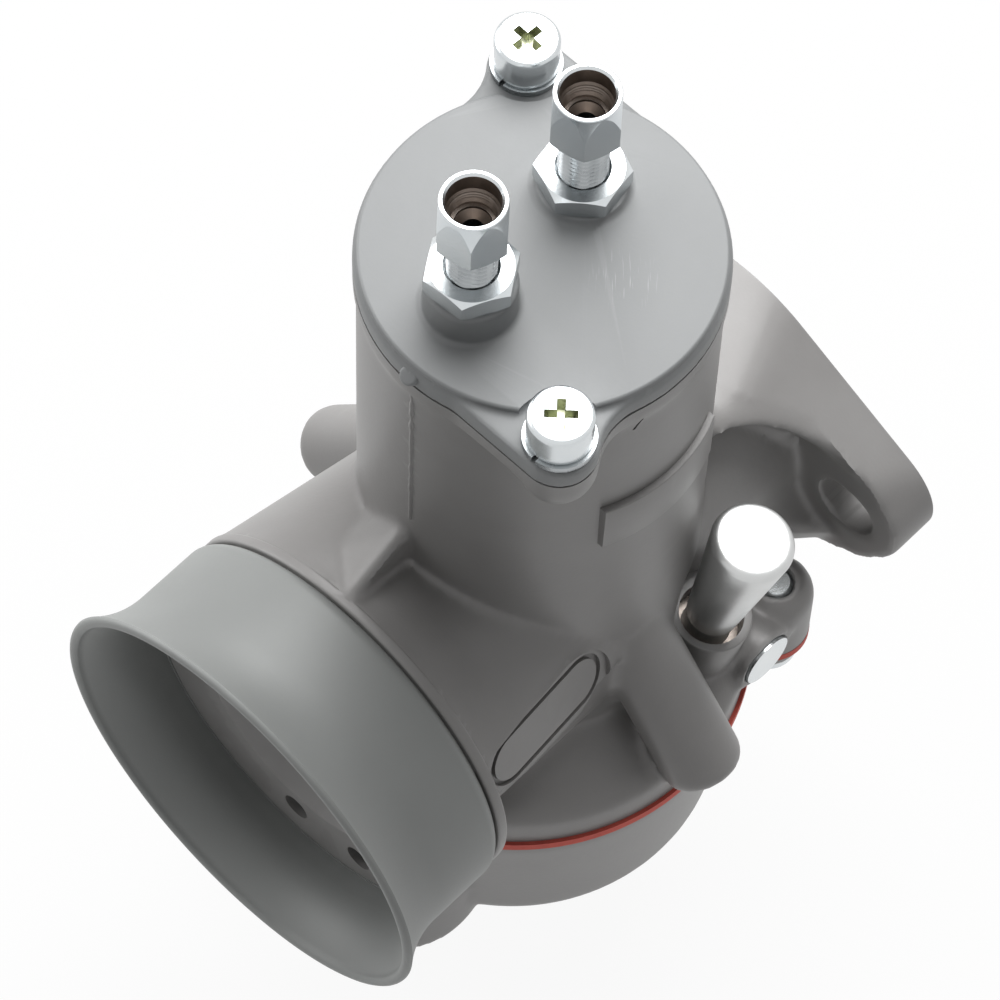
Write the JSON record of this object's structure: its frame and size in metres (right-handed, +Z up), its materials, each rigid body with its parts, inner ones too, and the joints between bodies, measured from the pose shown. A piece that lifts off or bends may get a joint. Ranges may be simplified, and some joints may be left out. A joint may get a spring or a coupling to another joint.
{
  "type": "motorcycle carburettor",
  "caption": "Round-slide motorcycle carburettor with a concentric float bowl, two-stud outlet flange, intake trumpet, cable adjusters and a tickler button.",
  "frame": {"origin": "centre of the outlet flange's face, on the bore axis", "axes": "+X along the bore from the outlet flange to the intake trumpet, +Y to the tickler side, +Z up the slide chamber"},
  "size_m": [0.0901, 0.0736, 0.1618],
  "materials": {
    "cast_grey": "satin grey die casting",
    "slide_alloy": "machined",
    "zinc_plate": "bright zinc plating",
    "spring_steel": "drawn wire",
    "brass": "turned",
    "red_gasket": "matt",
    "fibre": "matt",
    "nylon": "matt",
    "float_black": "satin",
    "seal_black": "matt"
  },
  "bodies": {
    "carburettor": {"mixing_chamber_body": "cast_grey", "intake_trumpet": "cast_grey", "top_cover": "cast_grey", "cover_screws": "zinc_plate", "cover_screw_washers": "zinc_plate", "choke_locknut": "zinc_plate", "throttle_locknut": "zinc_plate", "throttle_spring": "spring_steel", "air_valve_guide": "brass", "air_valve_spring": "spring_steel", "needle_jet": "brass", "jet_holder": "brass", "main_jet": "brass", "pilot_jet": "brass", "float_bowl": "cast_grey", "bowl_gasket": "red_gasket", "bowl_screws": "zinc_plate", "drain_plug": "zinc_plate", "drain_plug_washer": "fibre", "fuel_union": "zinc_plate", "fuel_union_bolt": "zinc_plate", "fuel_union_washers": "fibre", "fuel_filter": "nylon", "float_spindle": "spring_steel", "tickler_guide": "zinc_plate", "tickler_spring": "spring_steel", "passage_plug": "zinc_plate", "flange_o_ring": "seal_black"},
    "throttle_valve": {"throttle_slide": "slide_alloy", "jet_needle": "brass", "needle_clip": "spring_steel"},
    "air_valve": {"air_valve": "brass"},
    "choke_adjuster": {"choke_adjuster": "zinc_plate"},
    "throttle_adjuster": {"throttle_adjuster": "zinc_plate"},
    "tickler": {"tickler_button": "zinc_plate", "tickler_clip": "spring_steel"},
    "float": {"float": "float_black"},
    "float_needle": {"float_needle": "brass"},
    "pilot_air_screw": {"pilot_air_screw": "brass", "pilot_air_o_ring": "seal_black"},
    "throttle_stop_screw": {"throttle_stop_screw": "brass", "throttle_stop_o_ring": "seal_black"}
  },
  "joints": [
    {"name": "throttle_lift", "type": "slide", "parent": "carburettor", "child": "throttle_valve", "axis": [0, 0, 1], "range_m": [0, 0.027], "stiffness_N_per_m": 300, "springref_m": -0.02, "deforming": ["throttle_spring"]},
    {"name": "air_valve_lift", "type": "slide", "parent": "carburettor", "child": "air_valve", "axis": [0, 0, 1], "range_m": [0, 0.027], "stiffness_N_per_m": 100, "springref_m": -0.02, "deforming": ["air_valve_spring"]},
    {"name": "tickler_press", "type": "slide", "parent": "carburettor", "child": "tickler", "axis": [0.0777, -0.1667, -0.9829], "range_m": [0, 0.0035], "stiffness_N_per_m": 400, "springref_m": -0.002, "deforming": ["tickler_spring"]},
    {"name": "float_pivot", "type": "hinge", "parent": "carburettor", "child": "float", "pos_m": [0.056, 0, -0.0278], "axis": [0, 1, 0], "range_deg": [0, 7]},
    {"name": "float_needle_slide", "type": "slide", "parent": "carburettor", "child": "float_needle", "axis": [0, 0, -1], "range_m": [0, 0.000561]},
    {"name": "choke_adjuster_turn", "type": "hinge", "parent": "carburettor", "child": "choke_adjuster", "pos_m": [0.0495, -0.0009, 0.0938], "axis": [0, 0, 1], "continuous": true},
    {"name": "throttle_adjuster_turn", "type": "hinge", "parent": "carburettor", "child": "throttle_adjuster", "pos_m": [0.0292, -0.0027, 0.091], "axis": [0, 0, 1], "continuous": true},
    {"name": "pilot_air_screw_turn", "type": "hinge", "parent": "carburettor", "child": "pilot_air_screw", "pos_m": [0.0235, -0.0288, -0.0155], "axis": [0, -1, 0], "continuous": true},
    {"name": "throttle_stop_screw_turn", "type": "hinge", "parent": "carburettor", "child": "throttle_stop_screw", "pos_m": [0.0265, -0.01284, -0.01], "axis": [0, -0.8192, 0.5736], "continuous": true}
  ],
  "couplings": [
    {"joint": "float_needle_slide", "follows": "float_pivot", "m_per_rad": 0.0045}
  ]
}
